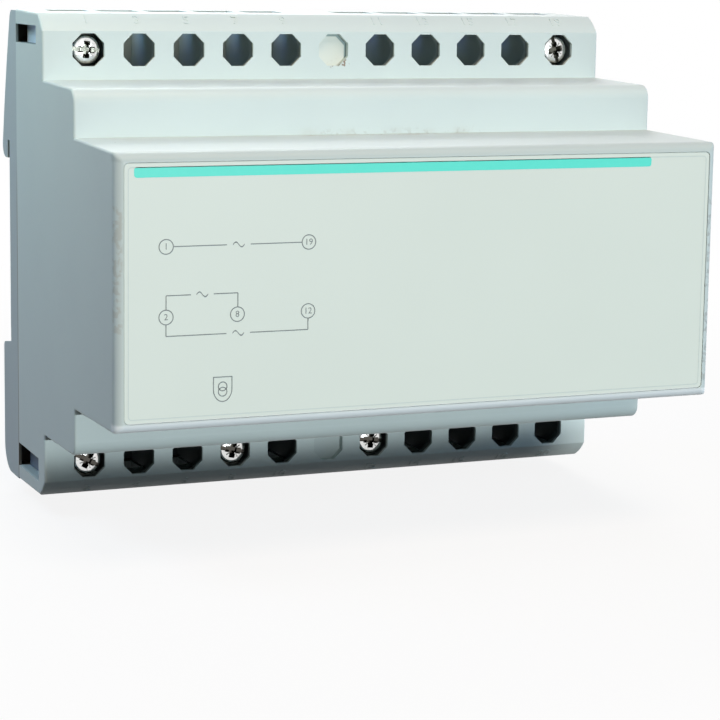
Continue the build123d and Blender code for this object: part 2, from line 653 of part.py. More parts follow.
def make_cage(number, x, z):
    """Rising clamp cage: a square ring with a threaded front wall."""
    cage_depth = CAGE_FRONT_DEPTH - CAGE_REAR_DEPTH
    with BuildPart() as cage:
        with BuildSketch(Plane.XY.offset(z - CAGE_LENGTH / 2)):
            with Locations((x, -(CAGE_FRONT_DEPTH + CAGE_REAR_DEPTH) / 2)):
                RectangleRounded(CAGE_WIDTH, cage_depth, CAGE_CORNER_RADIUS)
            inner_rear = CAGE_REAR_DEPTH + CAGE_REAR_WALL
            with Locations((x, -(CAGE_INNER_FRONT_DEPTH + inner_rear) / 2)):
                Rectangle(
                    CAGE_WIDTH - 2 * CAGE_SIDE_WALL,
                    CAGE_INNER_FRONT_DEPTH - inner_rear,
                    mode=Mode.SUBTRACT,
                )
        extrude(amount=CAGE_LENGTH)
        with BuildSketch(front_plane(x, CAGE_FRONT_DEPTH, z)):
            Circle(SCREW_SHANK_DIAMETER / 2 + THREAD_GAP)
        extrude(amount=-CAGE_THREAD_WALL, mode=Mode.SUBTRACT)
    finish(cage, f"terminal_cage_{number}")


def make_contact_bar(number, x, row):
    """Contact bar in the cage, with a narrower solder tab through the block."""
    bar_end = ROW_HEIGHT + CAGE_LENGTH / 2 - BAR_END_GAP
    shoulder = BLOCK_FLOOR_HEIGHT
    tab_end = BLOCK_FLOOR_HEIGHT - BLOCK_FLOOR_THICKNESS - BAR_TAB_LENGTH
    with BuildPart() as bar:
        with BuildSketch(front_plane(x, BAR_DEPTH, 0)):
            with BuildLine():
                Polyline(
                    (-BAR_TAB_WIDTH / 2, row * tab_end),
                    (-BAR_TAB_WIDTH / 2, row * shoulder),
                    (-BAR_WIDTH / 2, row * shoulder),
                    (-BAR_WIDTH / 2, row * bar_end),
                    (BAR_WIDTH / 2, row * bar_end),
                    (BAR_WIDTH / 2, row * shoulder),
                    (BAR_TAB_WIDTH / 2, row * shoulder),
                    (BAR_TAB_WIDTH / 2, row * tab_end),
                    close=True,
                )
            make_face()
        extrude(amount=-BAR_THICKNESS)
    finish(bar, f"contact_bar_{number}")


def lead_radii(points):
    """Bend radii that let each arc fill a set share of its shorter run."""
    radii = []
    for before, here, after in zip(points, points[1:], points[2:]):
        run_in = Vector(*here) - Vector(*before)
        run_out = Vector(*after) - Vector(*here)
        half_turn = radians(run_in.get_angle(run_out)) / 2
        radii.append(LEAD_BEND_SHARE * min(run_in.length, run_out.length) / tan(half_turn))
    return radii


def make_lead(number, start_points):
    """Insulated lead along straight runs joined by arcs, up to its solder tab."""
    points = start_points + tab_points(number)
    with BuildPart() as lead:
        with BuildLine() as route:
            FilletPolyline(*points, radius=lead_radii(points))
        with BuildSketch(Plane(origin=route.line @ 0, z_dir=route.line % 0)):
            Circle(LEAD_DIAMETER / 2)
        sweep()
    finish(lead, f"lead_{number}")


make_terminal_block("upper_terminal_block", 1)
make_terminal_block("lower_terminal_block", -1)
for number, (place, row) in TERMINALS.items():
    make_screw(number, place_x(place), row * ROW_HEIGHT)
    make_cage(number, place_x(place), row * ROW_HEIGHT)
    make_contact_bar(number, place_x(place), row)

# Core: E laminations from below, I laminations on top
with BuildPart() as core_e_stack:
    with BuildSketch(Plane.YZ):
        with Locations((-CORE_MIDDLE_DEPTH, -CORE_LEG / 2)):
            Rectangle(CORE_DEPTH, CORE_WINDOW_HEIGHT + CORE_LEG)
        window_middle = (TONGUE + CORE_WINDOW_WIDTH) / 2
        with Locations((-CORE_MIDDLE_DEPTH - window_middle, 0), (-CORE_MIDDLE_DEPTH + window_middle, 0)):
            Rectangle(CORE_WINDOW_WIDTH, CORE_WINDOW_HEIGHT, mode=Mode.SUBTRACT)
    extrude(amount=STACK_LENGTH / 2, both=True)
finish(core_e_stack, "core_e_stack")

with BuildPart() as core_i_stack:
    with BuildSketch(Plane.YZ):
        with Locations((-CORE_MIDDLE_DEPTH, CORE_HALF_HEIGHT - CORE_LEG / 2)):
            Rectangle(CORE_DEPTH, CORE_LEG)
    extrude(amount=STACK_LENGTH / 2, both=True)
finish(core_i_stack, "core_i_stack")

# Bobbin: a tube on the tongue with three flanges
with BuildPart() as bobbin:
    for level in (-BOBBIN_HALF_HEIGHT, -BOBBIN_WALL / 2, BOBBIN_HALF_HEIGHT - BOBBIN_WALL):
        with BuildSketch(Plane.XY.offset(level)):
            with Locations((0, -CORE_MIDDLE_DEPTH)):
                RectangleRounded(2 * FLANGE_HALF_LENGTH, 2 * FLANGE_HALF_WIDTH, FLANGE_RADIUS)
        extrude(amount=BOBBIN_WALL)
    with BuildSketch(Plane.XY):
        with Locations((0, -CORE_MIDDLE_DEPTH)):
            Rectangle(2 * TUBE_HALF_LENGTH, 2 * TUBE_HALF_WIDTH)
    extrude(amount=BOBBIN_HALF_HEIGHT, both=True)
    with BuildSketch(Plane.XY):
        with Locations((0, -CORE_MIDDLE_DEPTH)):
            Rectangle(2 * (TUBE_HALF_LENGTH - BOBBIN_WALL), 2 * (TUBE_HALF_WIDTH - BOBBIN_WALL))
    extrude(amount=BOBBIN_HALF_HEIGHT, both=True, mode=Mode.SUBTRACT)
finish(bobbin, "bobbin")


def make_ring(name, bottom, top, outer_margin, inner_margin):
    """Rounded ring round the bobbin's tube, or round a winding."""
    with BuildPart() as ring:
        with BuildSketch(Plane.XY.offset(bottom)):
            with Locations((0, -CORE_MIDDLE_DEPTH)):
                RectangleRounded(
                    2 * (FLANGE_HALF_LENGTH - outer_margin),
                    2 * (FLANGE_HALF_WIDTH - outer_margin),
                    FLANGE_RADIUS - outer_margin,
                )
                if inner_margin is None:
                    Rectangle(2 * TUBE_HALF_LENGTH, 2 * TUBE_HALF_WIDTH, mode=Mode.SUBTRACT)
                else:
                    RectangleRounded(
                        2 * (FLANGE_HALF_LENGTH - inner_margin),
                        2 * (FLANGE_HALF_WIDTH - inner_margin),
                        FLANGE_RADIUS - inner_margin,
                        mode=Mode.SUBTRACT,
                    )
        extrude(amount=top - bottom)
    finish(ring, name)


chamber_low = BOBBIN_WALL / 2
chamber_high = BOBBIN_HALF_HEIGHT - BOBBIN_WALL
tape_margin = WINDING_MARGIN - TAPE_THICKNESS
make_ring("primary_winding", chamber_low, chamber_high, WINDING_MARGIN, None)
make_ring("primary_tape", chamber_low, chamber_high, tape_margin, WINDING_MARGIN)
make_ring("secondary_winding", -chamber_high, -chamber_low, WINDING_MARGIN, None)
make_ring("secondary_tape", -chamber_high, -chamber_low, tape_margin, WINDING_MARGIN)

# Thermal cut-out on the end of the primary winding
far_y = -(SHOULDER_DEPTH - WALL) + LEAD_WALL_GAP
near_y = far_y + LEAD_SPREAD
with BuildPart() as thermal_cutout:
    cutout_inside = FLANGE_HALF_LENGTH - tape_margin
    with BuildSketch(Plane.YZ.offset(cutout_inside)):
        with Locations((near_y, (chamber_low + chamber_high) / 2)):
            RectangleRounded(CUTOUT_LENGTH, CUTOUT_WIDTH, CUTOUT_WIDTH / 5)
    extrude(amount=CUTOUT_THICKNESS)
finish(thermal_cutout, "thermal_cutout")

# Leads: each runs from its winding to the solder tab of its contact bar
tab_height = BLOCK_FLOOR_HEIGHT - BLOCK_FLOOR_THICKNESS - BAR_TAB_LENGTH + LEAD_JOINT_INSET
bend_height = CORE_HALF_HEIGHT + LEAD_CORE_GAP
overhang_x = (STACK_LENGTH / 2 + FLANGE_HALF_LENGTH) / 2
cutout_x = cutout_inside + CUTOUT_THICKNESS - LEAD_DIAMETER / 2
cutout_top = (chamber_low + chamber_high) / 2 + CUTOUT_WIDTH / 2
under_core = CORE_HALF_HEIGHT + RIB_GAP + RIB_LIP + LEAD_DIAMETER / 2


def tab_points(number):
    """Last three points of a lead: under its row, level with its solder tab and at it."""
    place, row = TERMINALS[number]
    return [
        (place_x(place), -BAR_DEPTH - LEAD_TAB_RUN, row * bend_height),
        (place_x(place), -BAR_DEPTH - LEAD_TAB_RUN, row * tab_height),
        (place_x(place), -BAR_DEPTH, row * tab_height),
    ]


make_lead(1, [(-overhang_x, near_y, BOBBIN_HALF_HEIGHT), (-overhang_x, near_y, bend_height)])
make_lead(19, [(cutout_x, near_y, cutout_top), (cutout_x, near_y, bend_height)])
make_lead(2, [(-overhang_x, near_y, -BOBBIN_HALF_HEIGHT), (-overhang_x, near_y, -bend_height)])
make_lead(
    8,
    [
        (-overhang_x, far_y, -BOBBIN_HALF_HEIGHT),
        (-overhang_x, far_y, -under_core),
        (place_x(TERMINALS[8][0]) - LEAD_CROSS_RUN, near_y, -under_core - LEAD_SAG),
    ],
)
make_lead(
    12,
    [
        (overhang_x, near_y, -BOBBIN_HALF_HEIGHT),
        (overhang_x, near_y, -under_core),
        (place_x(TERMINALS[12][0]) + LEAD_CROSS_RUN, near_y, -under_core - LEAD_SAG),
    ],
)
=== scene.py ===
"""Safety transformer on a pale floor, seen from the front left.

Every length is in metres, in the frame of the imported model: the origin is the middle
of the face that seats on the rail, +Z is up and the front of the housing faces -Y.
"""
import math

import bpy
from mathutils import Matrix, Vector


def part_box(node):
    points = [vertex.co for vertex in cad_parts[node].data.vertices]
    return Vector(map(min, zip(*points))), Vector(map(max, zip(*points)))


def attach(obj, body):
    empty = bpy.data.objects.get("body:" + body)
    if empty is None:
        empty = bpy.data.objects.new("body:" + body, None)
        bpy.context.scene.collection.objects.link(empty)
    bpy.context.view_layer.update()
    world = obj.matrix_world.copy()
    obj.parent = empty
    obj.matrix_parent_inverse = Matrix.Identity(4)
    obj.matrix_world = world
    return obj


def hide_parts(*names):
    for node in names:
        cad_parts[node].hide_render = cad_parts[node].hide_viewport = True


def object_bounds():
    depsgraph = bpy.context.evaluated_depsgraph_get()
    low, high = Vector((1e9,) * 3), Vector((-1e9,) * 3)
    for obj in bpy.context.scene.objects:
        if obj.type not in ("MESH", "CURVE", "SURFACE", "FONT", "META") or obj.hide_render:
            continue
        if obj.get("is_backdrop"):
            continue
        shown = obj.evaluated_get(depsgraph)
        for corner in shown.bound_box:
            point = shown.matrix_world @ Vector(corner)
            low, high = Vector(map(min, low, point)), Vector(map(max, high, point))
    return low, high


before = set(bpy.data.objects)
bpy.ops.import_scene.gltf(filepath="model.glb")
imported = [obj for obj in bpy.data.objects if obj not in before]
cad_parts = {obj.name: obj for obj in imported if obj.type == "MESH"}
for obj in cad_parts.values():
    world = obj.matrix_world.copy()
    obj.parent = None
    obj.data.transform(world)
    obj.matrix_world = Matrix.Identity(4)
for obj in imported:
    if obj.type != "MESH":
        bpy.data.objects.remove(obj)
cad_low, cad_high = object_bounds()
bpy.ops.object.select_all(action="DESELECT")


# Housing cover: one stepped moulding of light grey plastic, satin and slightly mottled, which snaps over
# the rear base. It carries the specks, the brownish smudges and the scuffed side edges of a used part, and
# painted light and shade at the edges of the nose, in the blank place and inside the holes.
class Recipe:
    """A node tree that is put together node by node."""

    def __init__(self, tree):
        self.tree = tree

    def node(self, kind, settings=None, sockets=None):
        """Add a node: its settings first, then a value or a link for each socket."""
        made = self.tree.nodes.new(kind)
        for name, value in (settings or {}).items():
            setattr(made, name, value)
        for name, value in (sockets or {}).items():
            if isinstance(value, Field):
                value = value.socket
            if isinstance(value, bpy.types.NodeSocket):
                self.tree.links.new(value, made.inputs[name])
            else:
                made.inputs[name].default_value = value
        return made

    def field(self, kind, settings=None, sockets=None, output=0):
        """Add a node and take one of its outputs as a value."""
        return Field(self, self.node(kind, settings, sockets).outputs[output])


class Field:
    """A value in a node tree that takes part in arithmetic."""

    def __init__(self, recipe, socket):
        self.recipe = recipe
        self.socket = socket

    def math(self, operation, *terms):
        return self.recipe.field("ShaderNodeMath", {"operation": operation}, dict(enumerate(terms)))

    def __add__(self, other):
        return self.math("ADD", self, other)

    def __sub__(self, other):
        return self.math("SUBTRACT", self, other)

    def __rsub__(self, other):
        return self.math("SUBTRACT", other, self)

    def __mul__(self, other):
        return self.math("MULTIPLY", self, other)

    __radd__ = __add__
    __rmul__ = __mul__

    def __abs__(self):
        return self.math("ABSOLUTE", self)

    def sine(self):
        return self.math("SINE", self)

    def highest(self, other):
        return self.math("MAXIMUM", self, other)

    def ramp(self, start, end):
        """0 at start and 1 at end, smooth between them."""
        rising = start < end
        stops = {
            "Value": self,
            "From Min": min(start, end),
            "From Max": max(start, end),
            "To Min": 0 if rising else 1,
            "To Max": 1 if rising else 0,
        }
        smooth = {"interpolation_type": "SMOOTHSTEP"}
        return self.recipe.field("ShaderNodeMapRange", smooth, stops, "Result")


class Material(Recipe):
    """A principled material on object coordinates, built up layer by layer."""

    def __init__(self, name, color, roughness, metallic=0.0, coat=0.0, gloss=0.5):
        self.made = bpy.data.materials.new(name)
        self.made.use_nodes = True
        super().__init__(self.made.node_tree)
        self.inputs = self.tree.nodes["Principled BSDF"].inputs
        self.inputs["Base Color"].default_value = (*color, 1)
        self.inputs["Roughness"].default_value = roughness
        self.inputs["Metallic"].default_value = metallic
        self.inputs["Coat Weight"].default_value = coat
        self.inputs["Specular IOR Level"].default_value = gloss
        self.color = (*color, 1)
        self.coordinates = self.node("ShaderNodeTexCoord").outputs["Object"]
        split = self.node("ShaderNodeSeparateXYZ", sockets={0: self.coordinates})
        self.x, self.y, self.z = (Field(self, split.outputs[axis]) for axis in "XYZ")

    def noise(self, scale, detail=2, stretch=(1, 1, 1)):
        place = {0: self.coordinates, 1: stretch}
        scaled = self.field("ShaderNodeVectorMath", {"operation": "MULTIPLY"}, place)
        sockets = {"Vector": scaled, "Scale": scale, "Detail": detail}
        return self.field("ShaderNodeTexNoise", None, sockets, "Fac")

    def specks(self, spacing, radius, share):
        """Scattered round specks: that share of the cells holds one each."""
        scale = {"Vector": self.coordinates, "Scale": 1 / spacing}
        near = self.node("ShaderNodeTexVoronoi", sockets=scale)
        split = self.node("ShaderNodeSeparateColor", sockets={0: near.outputs["Color"]})
        chosen = Field(self, split.outputs[0]).ramp(share, share - 0.01)
        size = Field(self, split.outputs[1]) * (radius / spacing)
        soft_edge = 0.15 * radius / spacing
        return (size - Field(self, near.outputs["Distance"])).ramp(0, soft_edge) * chosen

    def box(self, low, high, soft):
        """1 inside a box in the part's frame, fading over a soft edge."""
        mask = 1
        for field, start, end in zip((self.x, self.y, self.z), low, high):
            mask = mask * field.ramp(start - soft, start + soft) * field.ramp(end + soft, end - soft)
        return mask

    def blend(self, mask, under, over):
        """One colour over another, where the mask is 1."""
        sockets = {"Factor": mask, "A": under, "B": (*over, 1)}
        return self.node("ShaderNodeMix", {"data_type": "RGBA"}, sockets).outputs["Result"]

    def lay(self, mask, color):
        """Lay a colour over what is there."""
        self.color = self.blend(mask, self.color, color)
        self.tree.links.new(self.color, self.inputs["Base Color"])

    def mottle(self, scale, color, low=0.35, high=0.75, detail=3, share=1):
        """Clouds of another colour."""
        self.lay(self.noise(scale, detail).ramp(low, high) * share, color)

    def glow(self, mask, color):
        """A faint painted glow, which makes a part look lit though it is no lamp."""
        self.tree.links.new(self.blend(mask, (0, 0, 0, 1), color), self.inputs["Emission Color"])
        self.inputs["Emission Strength"].default_value = 1

    def sheen(self, scale, lowest, spread, detail=2):
        """Roughness that varies from the lowest value up."""
        rough = self.noise(scale, detail) * spread + lowest
        self.tree.links.new(rough.socket, self.inputs["Roughness"])

    def bump(self, height, distance, strength):
        sockets = {"Strength": strength, "Distance": distance, "Height": height}
        before = self.inputs["Normal"]
        if before.is_linked:
            sockets["Normal"] = before.links[0].from_socket
        self.tree.links.new(self.node("ShaderNodeBump", sockets=sockets).outputs[0], before)

    def grain(self, scale, depth, strength=0.4, detail=2, stretch=(1, 1, 1)):
        """A fine moulded or drawn texture."""
        self.bump(self.noise(scale, detail, stretch), depth, strength)


def dress(material, *nodes):
    """Give CAD nodes one material."""
    for node in nodes:
        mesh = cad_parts[node].data
        mesh.materials.clear()
        mesh.materials.append(material.made)


def moulded(name, color, cloud, roughness):
    """Satin grey plastic with faint clouds and a fine grain over a slight wave."""
    plastic = Material(name, color, roughness, gloss=0.2)
    plastic.mottle(60, cloud)
    plastic.sheen(1800, roughness - 0.05, 0.10)
    plastic.grain(5200, 0.000012, 0.5)
    plastic.grain(90, 0.00012, 0.25)
    return plastic


def lay_seam(plastic):
    """Brownish dirt along the seam of the side walls, strongest below."""
    line = abs(plastic.y - seam_y).ramp(0.00030, 0.00010) * plastic.z.ramp(0.020, 0.004)
    outside = abs(plastic.x).ramp(half_width - 0.0006, half_width - 0.0003)
    plastic.lay(line * outside * 0.85, (0.13, 0.10, 0.07))


half_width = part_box("housing_cover")[1].x
nose_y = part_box("housing_cover")[0].y
nose_edge_y = nose_y + 0.0015
seam_y = -0.0053
terminal_y = -0.0236
shoulder_y = -0.0434
recess_y = -0.0225
row_z = 0.0355
speck_color = (0.12, 0.11, 0.10)
housing = moulded("housing_plastic", (0.600, 0.672, 0.655), (0.585, 0.656, 0.642), 0.45)
# Blank place: its bottom is painted dark grey as shade, standing for a deeper recess, and pale on its
# lower left, which leaves a painted shade band at its top and right.
blank_low = (-0.0034, recess_y - 0.0001, 0.0320)
blank_floor_shade_and_pale = housing.box(blank_low, (0.0034, recess_y + 0.0003, 0.0389), 0.0001)
housing.lay(blank_floor_shade_and_pale, (0.27, 0.35, 0.34))
blank_pale_corner = (housing.x + (housing.z - row_z)).ramp(0.00335, 0.00310)
blank_pale_sides = housing.x.ramp(0.00255, 0.00235) * housing.z.ramp(0.03795, 0.03775)
housing.lay(blank_floor_shade_and_pale * (blank_pale_corner * blank_pale_sides), (0.74, 0.77, 0.70))
smudge_high = (0.0195, shoulder_y + 0.0001, 0.0226)
smudge = housing.box((-0.0135, -0.0455, 0.0212), smudge_high, 0.0012)
housing.lay(smudge * housing.noise(260, 3).ramp(0.42, 0.66) * 0.55, (0.38, 0.33, 0.25))
housing.lay(smudge * housing.noise(900).ramp(0.55, 0.64) * 0.5, (0.24, 0.20, 0.15))
streak_low = (-0.053, nose_y - 0.0002, -0.006)
streak = housing.box(streak_low, (-0.0513, nose_edge_y, 0.0135), 0.0003)
housing.lay(streak * housing.noise(900, 3).ramp(0.45, 0.60) * 0.4, (0.45, 0.42, 0.36))
scuff_low = (0.0512, nose_y - 0.0002, -0.019)
scuff = housing.box(scuff_low, (0.053, nose_y + 0.0022, 0.013), 0.0003)
housing.lay(scuff * housing.noise(1100, 3).ramp(0.50, 0.60) * 0.5, (0.30, 0.31, 0.29))
fleck_low = (-0.0015, terminal_y - 0.0004, 0.0325)
flecks = housing.box(fleck_low, (0.0035, recess_y - 0.0001, 0.0340), 0.0003)
housing.lay(flecks * housing.noise(1500, 3).ramp(0.56, 0.64) * 0.8, (0.20, 0.10, 0.04))
housing.lay(housing.specks(0.007, 0.00022, 0.30) * 0.7, speck_color)
# Nose edges: the rounded upper edge is painted darker, as painted shade, and the rounded lower edge near
# white, as a painted highlight.
nose_rim = housing.y.ramp(nose_y + 0.0030, nose_edge_y)
upper_edge_painted_shade = housing.z.ramp(0.0200, 0.0206) * housing.z.ramp(0.0230, 0.0226)
housing.lay(upper_edge_painted_shade * nose_rim, (0.515, 0.580, 0.565))
lower_edge_painted_highlight = housing.z.ramp(-0.0200, -0.0206) * housing.z.ramp(-0.0220, -0.0217)
housing.lay(lower_edge_painted_highlight * nose_rim, (0.92, 0.95, 0.95))
lay_seam(housing)
# Painted shade: inside the cover, at the height of the rows of holes, the walls of the holes and windows
# are painted dark.
behind_walls = abs(housing.x).ramp(half_width - 0.0004, half_width - 0.0007)
behind_front = housing.y.ramp(recess_y, recess_y + 0.0004)
beside_holes = abs(housing.z).ramp(0.0395, 0.0392) * abs(housing.z).ramp(0.0302, 0.0305)
housing.lay(behind_walls * behind_front * beside_holes * 0.75, (0.10, 0.12, 0.12))
dress(housing, "housing_cover")

# Place numbers: figures raised a tenth of a millimetre on both sloped corners of
# the cover and moulded with it, odd ones above and even ones below. The blank
# place in the middle has none.
place_pitch = 0.0089
places_from_middle = (-5, -4, -3, -2, -1, 1, 2, 3, 4, 5)
slope_foot = (-0.0236, 0.03865)
slope_crest = (-0.02025, 0.04155)
slope_bulge = 0.00028
figure_share = 0.57
figure_size = 0.0028
figure_relief = 0.00007
slope_angle = math.atan2(slope_crest[1] - slope_foot[1], slope_crest[0] - slope_foot[0])
figure_y = slope_foot[0] + figure_share * (slope_crest[0] - slope_foot[0])
figure_z = slope_foot[1] + figure_share * (slope_crest[1] - slope_foot[1])


def settle():
    """Put the place of the active object into its mesh."""
    bpy.ops.object.transform_apply(location=True, rotation=True, scale=True)
    return bpy.context.object


def joined(pieces, name):
    """Join pieces into one object at the origin."""
    bpy.ops.object.select_all(action="DESELECT")
    for piece in pieces:
        piece.select_set(True)
    bpy.context.view_layer.objects.active = pieces[0]
    if len(pieces) > 1:
        bpy.ops.object.join()
    whole = settle()
    whole.name = name
    whole.select_set(False)
    return whole


def figures(body, size, location, rotation, depth=0.0):
    """Centred figures as a mesh, raised by a depth on both sides."""
    bpy.ops.object.text_add(location=location, rotation=rotation)
    text = bpy.context.object.data
    text.body = body
    text.size = size
    text.align_x = "CENTER"
    text.align_y = "CENTER"
    text.extrude = depth
    text.resolution_u = 3
    bpy.ops.object.convert(target="MESH")
    bpy.ops.object.mode_set(mode="EDIT")
    bpy.ops.mesh.select_all(action="SELECT")
    bpy.ops.mesh.remove_doubles(threshold=0.000002)
    if depth > 0:
        bpy.ops.mesh.normals_make_consistent(inside=False)
    bpy.ops.object.mode_set(mode="OBJECT")
    return settle()


for row, first, name in ((1, 1, "upper_place_numbers"), (-1, 2, "lower_place_numbers")):
    lean = slope_angle if row > 0 else math.pi - slope_angle
    outward = Vector((0, -math.sin(slope_angle), row * math.cos(slope_angle)))
    row_figures = []
    for step, place in enumerate(places_from_middle):
        middle = Vector((place * place_pitch, figure_y, row * figure_z)) + outward * slope_bulge
        body = str(first + 2 * step)
        row_figures.append(figures(body, figure_size, middle, (lean, 0, 0), figure_relief))
    numbers = joined(row_figures, name)
    numbers.data.materials.append(housing.made)
    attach(numbers, "housing")

# Rear base: the tray behind the seam, moulded in a slightly darker grey, with the hook for the rail above
# and the foot below. The cover snaps on to it, and its rim is painted near black, as shade, where the side
# windows show it.
base = moulded("base_plastic", (0.430, 0.492, 0.510), (0.415, 0.476, 0.496), 0.46)
base.lay(base.specks(0.008, 0.00020, 0.25) * 0.6, speck_color)
# Painted shade on the rim where the side windows show it.
window_rim_painted_shade = abs(base.x).ramp(half_width - 0.0002, half_width - 0.0006) * base.y.ramp(-0.0015, -0.0019)
base.lay(window_rim_painted_shade * abs(base.z).ramp(0.0405, 0.0400) * 0.97, (0.050, 0.040, 0.028))
lay_seam(base)
dress(base, "rear_base")

# Front plate: a flat plate of a warmer and smoother light grey, printed and let
# into the face of the nose, with a fine bevel all round.
plate_low, plate_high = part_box("front_plate")
print_y = plate_low.y - 0.00002
facing_front = (math.pi / 2, 0, 0)
plate = Material("plate_plastic", (0.738, 0.792, 0.725), 0.40, gloss=0.2)
plate.mottle(45, (0.726, 0.780, 0.714), 0.3, 0.8, detail=2)
plate.lay(plate.specks(0.011, 0.00018, 0.22) * 0.6, (0.20, 0.19, 0.17))
# The lower bevel of the plate is painted near white, as a painted highlight.
plate.lay(plate.z.ramp(-0.02000, -0.02006), (0.97, 0.98, 0.97))
plate.sheen(1400, 0.36, 0.08)
plate.grain(6500, 0.000008)
dress(plate, "front_plate")


def bar(start, end, width):
    """A flat printed bar from one (x, z) point to another."""
    run, climb = end[0] - start[0], end[1] - start[1]
    middle = (start[0] + run / 2, print_y, start[1] + climb / 2)
    turn = (math.pi / 2, -math.atan2(climb, run), 0)
    bpy.ops.mesh.primitive_plane_add(size=1, location=middle, rotation=turn)
    bpy.context.object.scale = (math.hypot(run, climb), width, 1)
    return settle()


def round_corners(radius, segments):
    """Round the corners of the flat face that is being worked on."""
    bpy.ops.object.mode_set(mode="EDIT")
    bpy.ops.mesh.select_all(action="SELECT")
    bpy.ops.mesh.bevel(offset=radius, segments=segments, affect="VERTICES")
    bpy.ops.object.mode_set(mode="OBJECT")


def outline(width):
    """Leave only a line along the edge of the flat shape that is being worked on."""
    bpy.ops.object.mode_set(mode="EDIT")
    bpy.ops.mesh.select_mode(type="FACE")
    bpy.ops.mesh.select_all(action="SELECT")
    bpy.ops.mesh.inset(thickness=width)
    bpy.ops.mesh.delete(type="FACE")
    bpy.ops.object.mode_set(mode="OBJECT")


def printed(shapes, name, ink):
    """Join printed shapes into one piece that rides on the housing."""
    whole = joined(shapes, name)
    whole.data.materials.clear()
    whole.data.materials.append(ink.made)
    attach(whole, "housing")


# Stripe: a turquoise bar with round ends, printed along the top of the plate in
# one thick coat of ink.
stripe_z = 0.0187
stripe_ink = Material("stripe_ink", (0.125, 0.800, 0.660), 0.42, gloss=0.25)
stripe_ink.mottle(900, (0.150, 0.830, 0.690), 0.45, 0.8, detail=2, share=0.35)
stripe_ink.grain(6500, 0.000006)
stripe = bar((-0.0495, stripe_z), (0.0399, stripe_z), 0.0016)
round_corners(0.00045, 5)
printed([stripe], "stripe", stripe_ink)

# Plate line: a faint line with round corners, printed just inside the edge of the
# plate in a grey close to its own.
line_inset = 0.00062
faint_ink = Material("faint_ink", (0.610, 0.678, 0.640), 0.42, gloss=0.25)
faint_ink.mottle(1200, (0.640, 0.708, 0.665), 0.4, 0.8, detail=2)
line_left = plate_low.x + line_inset
line_right = plate_high.x - line_inset
line_height = plate_high.z - plate_low.z - 2 * line_inset
plate_line = bar((line_left, 0), (line_right, 0), line_height)
round_corners(0.0006, 4)
outline(0.00014)
printed([plate_line], "plate_line", faint_ink)

# Connection diagram: a numbered circle for each terminal, joined by lines with a
# wave for alternating current, and a shield with two linked rings below. It is
# printed on the plate in one dark grey ink.
line_width = 0.00016
ring_radius = 0.00122
label_size = 0.0014
wave_length = 0.0019
wave_height = 0.00038
wave_steps = 24
upper_z, lower_z = 0.00722, -0.00370
left_x, middle_x, right_x = -0.04440, -0.03275, -0.02104
mark_places = {
    "1": (left_x, upper_z),
    "19": (right_x + 0.00001, upper_z),
    "2": (left_x, lower_z),
    "8": (middle_x - 0.00005, lower_z),
    "12": (right_x, lower_z),
}
line_ink = Material("line_ink", (0.200, 0.225, 0.220), 0.45, gloss=0.25)
line_ink.mottle(2400, (0.270, 0.300, 0.292), 0.4, 0.8, detail=2, share=0.6)


def pick(piece, kind, wanted):
    """In edit mode, select only the vertices or the faces that a test wants."""
    bpy.ops.object.mode_set(mode="EDIT")
    bpy.ops.mesh.select_mode(type=kind)
    bpy.ops.mesh.select_all(action="DESELECT")
    bpy.ops.object.mode_set(mode="OBJECT")
    for item in piece.data.vertices if kind == "VERT" else piece.data.polygons:
        item.select = wanted(item)
    bpy.ops.object.mode_set(mode="EDIT")


def disc(x, z, radius, vertices=40):
    """A flat printed disc."""
    bpy.ops.mesh.primitive_circle_add(
        vertices=vertices, radius=radius, fill_type="NGON", location=(x, print_y, z), rotation=facing_front
    )
    return settle()


def ring(x, z, radius):
    """A thin printed ring."""
    made = disc(x, z, radius)
    outline(line_width)
    return made


def wave(x, z):
    """One period of a printed wave: a dash whose end is drawn out step by step."""
    run = wave_length / wave_steps
    start = x - wave_length / 2
    levels = [wave_height * math.sin(2 * math.pi * step / wave_steps) for step in range(wave_steps + 1)]
    dash = bar((start, z), (start + run, z), 1.3 * line_width)
    pick(dash, "VERT", lambda vertex: vertex.co.x > start + run / 2)
    bpy.ops.transform.translate(value=(0, 0, levels[1]))
    for before, after in zip(levels[1:], levels[2:]):
        bpy.ops.mesh.extrude_region_move(TRANSFORM_OT_translate={"value": (run, 0, after - before)})
    bpy.ops.object.mode_set(mode="OBJECT")
    return dash


def shield(x, z, half_width, rise, drop):
    """The outline of a shield: half an ellipse whose top edge is drawn up."""
    made = disc(0, 0, 1, vertices=48)
    made.scale = (half_width, 1, drop)
    made.location = (x, 0, z)
    settle()
    bpy.ops.object.mode_set(mode="EDIT")
    bpy.ops.mesh.select_all(action="SELECT")
    bpy.ops.mesh.bisect(plane_co=(x, print_y, z), plane_no=(0, 0, 1), clear_outer=True)
    bpy.ops.mesh.extrude_region_move(TRANSFORM_OT_translate={"value": (0, 0, rise)})
    bpy.ops.object.mode_set(mode="OBJECT")
    outline(line_width)
    return made


